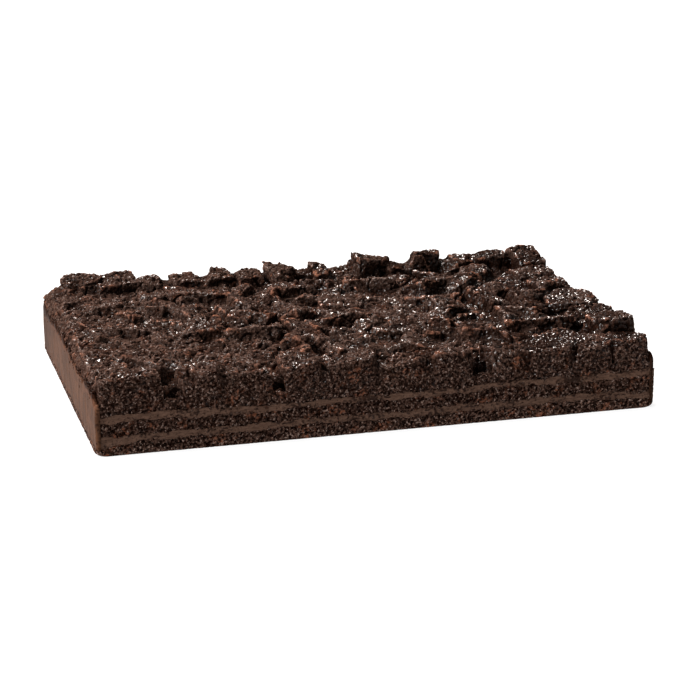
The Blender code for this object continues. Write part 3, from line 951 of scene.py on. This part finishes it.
strip_depth = (BACK_REACH - FRONT_STRIP_END) / STRIP_COUNT
for strip_number in range(STRIP_COUNT):
    y0 = FRONT_STRIP_END + strip_depth * strip_number
    y1 = y0 + strip_depth
    blocks = [
        torn_block(number, *recipe)
        for number, recipe in chunks[len(FRONT_ROW) :]
        if y0 <= recipe[0][1] < y1 or (strip_number == STRIP_COUNT - 1 and recipe[0][1] >= y1)
    ]
    y0, y1 = y0 - MM, min(y1 + MM, BACK_REACH)
    blocks.append(bank(-SIDE_REACH, SIDE_REACH, y0, y1, CORE_TOP))
    blocks.append(bank(-SIDE_REACH, FLAT_END, y0, y1, LEFT_CORE_TOP))
    if strip_number == STRIP_COUNT - 1:
        y0 = BACK_REACH - EDGE_BANK_WIDTH
        blocks.append(bank(-SIDE_REACH, SIDE_REACH, y0, BACK_REACH, EDGE_BANK_TOP))
    heap = fuse(blocks, HEAP_CELL)
    slice_off(heap, (0, 0, BURIED), (0, 0, -1))
    tear(heap)
    keep_in_place(heap, HEAP_TOP)
    heap_pieces.append(
        add_piece(f"heap_chunks_{strip_number + 1}", heap, glazed, "chunks", "cake_chunk_topping")
    )

# --- Heap core -------------------------------------------------------------------------------
# Cake crumb packed under the chunks and stuck to the upper cream. It fills the heap from inside
# and is out of sight.

CORE_FOOT = 22.5 * MM

core = bank(-HEAP_X, HEAP_X, FRONT_STRIP_END - 2 * MM, HEAP_BACK_Y, BURIED + 0.3 * MM)
for v in core.verts:
    v.co.z = max(v.co.z, CORE_FOOT)
heap_pieces.append(add_piece("crumb_core", core, glazed, "chunks", "cake_chunk_topping"))

# --- Loose crumbs ----------------------------------------------------------------------------
# Crumbs that broke off the chunks. They lie on them and in the gaps between them, and a few stick
# to the icing below its edge.

LARGE_CRUMBS, LARGE_RADII = 90, millimetres(1.0, 2.1)
FINE_CRUMBS, FINE_RADII = 2400, millimetres(0.35, 0.8)
ICING_CRUMBS, SMALLEST_STUCK, LARGEST_STUCK = 1900, 0.35, 0.8
CRUMB_SHAPES = 12
# Ridge marks of the loose crumbs and of those stuck to the icing: they set each crumb's painted
# highlight and painted shade.
LOOSE_CRUMB_RIDGE, DARK = (0.3, 0.74), (0.05, 0.6)

bpy.context.view_layer.update()
graph = bpy.context.evaluated_depsgraph_get()
heap_trees = [BVHTree.FromObject(piece, graph) for piece in heap_pieces]


def rest_height(x, y):
    """Where a crumb dropped at this place comes to rest, or None."""
    found = [tree.ray_cast(Vector((x, y, 0.1)), Vector((0, 0, -1)))[0] for tree in heap_trees]
    heights = [p.z for p in found if p]
    return max(heights) if heights else None


def crumb_shapes(subdivisions, draw):
    """A few knobbly crumbs 1 across, to be used again and again."""
    shapes = []
    for _ in range(CRUMB_SHAPES):
        shape = bmesh.new()
        shape.verts.layers.float.new("dark")
        shape.verts.layers.float.new("ridge")
        bmesh.ops.create_icosphere(shape, subdivisions=subdivisions, radius=1)
        stretch = Vector([draw.uniform(0.65, 1.3) for _ in range(3)])
        for v in shape.verts:
            v.co = v.co * draw.uniform(0.72, 1.15) * stretch
        shapes.append(shape)
    return shapes


def laid(shape, place, radius, draw, tones):
    """A crumb of this radius at this place, turned any way, its ridge mark drawn from this range:
    high marks paint highlight on it, low ones paint shade.
    """
    crumb = shape.copy()
    ridge = crumb.verts.layers.float["ridge"]
    ridge_mark = draw.uniform(*tones)
    for v in crumb.verts:
        v[ridge] = ridge_mark
    bmesh.ops.scale(crumb, vec=(radius, radius, radius), verts=crumb.verts)
    turned = Euler([draw.uniform(0, math.tau) for _ in range(3)]).to_matrix()
    bmesh.ops.rotate(crumb, cent=(0, 0, 0), matrix=turned, verts=crumb.verts)
    bmesh.ops.translate(crumb, vec=place, verts=crumb.verts)
    return crumb


def scatter(count, radii, subdivisions, seed):
    """Crumbs dropped on the heap, clear of its highest places."""
    draw = random.Random(seed)
    shapes = crumb_shapes(subdivisions, draw)
    crumbs = []
    for _ in range(count):
        x = draw.uniform(-HEAP_X + 2 * MM, HEAP_X - 2 * MM)
        y = draw.uniform(FRONT_Y + 3 * MM, HEAP_BACK_Y - 3 * MM)
        radius = draw.uniform(*radii)
        z = rest_height(x, y)
        if z is None or z + radius > HEAP_TOP:
            continue
        place = (x, y, z + 0.2 * radius)
        crumbs.append(laid(draw.choice(shapes), place, radius, draw, LOOSE_CRUMB_RIDGE))
    return join(crumbs)


large_crumbs = scatter(LARGE_CRUMBS, LARGE_RADII, 2, 7)
add_piece("large_crumbs", large_crumbs, glazed, "chunks", "cake_chunk_topping")
fine_crumbs = scatter(FINE_CRUMBS, FINE_RADII, 1, 8)
add_piece("fine_crumbs", fine_crumbs, glazed, "chunks", "cake_chunk_topping")

draw = random.Random(9)
shapes = crumb_shapes(1, draw)
stuck_crumbs = []
for _ in range(ICING_CRUMBS):
    point, out = side_path(draw.uniform(0.012, 0.988) * SIDE_LENGTH)
    clump = noise.noise((point.x / MM / 6, point.y / MM / 6, 21))
    thick = max(0.0, clump)
    below = draw.uniform(0, 1) ** 2.2 * (5 + 12 * thick) * MM
    z = icing_top(point.x, point.y) + 0.8 * MM - below
    radius = draw.uniform(SMALLEST_STUCK, LARGEST_STUCK + 0.5 * thick) * MM
    if draw.uniform(-0.35, 0.3) > clump:
        continue
    place = Vector((*(point - out * 0.75 * MM), z))
    stuck_crumbs.append(laid(draw.choice(shapes), place, radius, draw, DARK))
icing_crumbs = join(stuck_crumbs)
for v in icing_crumbs.verts:
    v.co.x = max(-LENGTH / 2, min(LENGTH / 2, v.co.x))
    v.co.y = min(BACK_Y, v.co.y)
add_piece("icing_crumbs", icing_crumbs, glazed, "chunks", "cake_chunk_topping")

# --- Floor, light and camera -----------------------------------------------------------------
# A plain pale floor, a soft light from the left, a smaller one from above and behind that catches
# the glaze, and a camera at the photograph's place.

floor_mesh = bmesh.new()
bmesh.ops.create_grid(floor_mesh, x_segments=1, y_segments=1, size=8)
mesh = bpy.data.meshes.new("floor")
floor_mesh.to_mesh(mesh)
floor_mesh.free()
floor = bpy.data.objects.new("floor", mesh)
bpy.context.scene.collection.objects.link(floor)
pale = Finish(
    "pale_floor",
    {
        "Base Color": (0.25, 0.25, 0.25, 1),
        "Roughness": 0.9,
        "Emission Color": (1, 1, 1, 1),
        "Emission Strength": 0.8,
    },
)
mesh.materials.append(pale.material)

world = bpy.data.worlds.new("studio")
world.use_nodes = True
world.node_tree.nodes["Background"].inputs["Color"].default_value = (1, 1, 1, 1)
world.node_tree.nodes["Background"].inputs["Strength"].default_value = 0.2
bpy.context.scene.world = world


def soft_sun(name, towards, strength, width, tint=(1, 1, 1)):
    """A wide, even light that comes from this direction. Strength 1 makes a white sheet white."""
    lamp = bpy.data.lights.new(name, "SUN")
    lamp.color = tint
    lamp.energy = strength * math.pi
    lamp.angle = math.radians(width)
    obj = bpy.data.objects.new(name, lamp)
    obj.rotation_euler = Vector(towards).to_track_quat("Z", "Y").to_euler()
    bpy.context.scene.collection.objects.link(obj)


soft_sun("key", (-0.80, -0.08, 0.55), 1.3, 30)
soft_sun("overhead", (-0.10, 0.70, 0.70), 1.9, 13, (1, 0.92, 0.87))

CAMERA_PLACE = millimetres(-298.555, -1115.934, 372.578)
CAMERA_PITCH, CAMERA_TURN = 17.2025, 15.3846
camera = bpy.data.cameras.new("camera")
camera.lens = 111.7
camera.sensor_width = 36
camera.clip_end = 20
viewer = bpy.data.objects.new("camera", camera)
viewer.location = CAMERA_PLACE
viewer.rotation_euler = (math.radians(90 - CAMERA_PITCH), 0, math.radians(-CAMERA_TURN))
bpy.context.scene.collection.objects.link(viewer)
bpy.context.scene.camera = viewer
bpy.context.scene.view_settings.view_transform = "Standard"
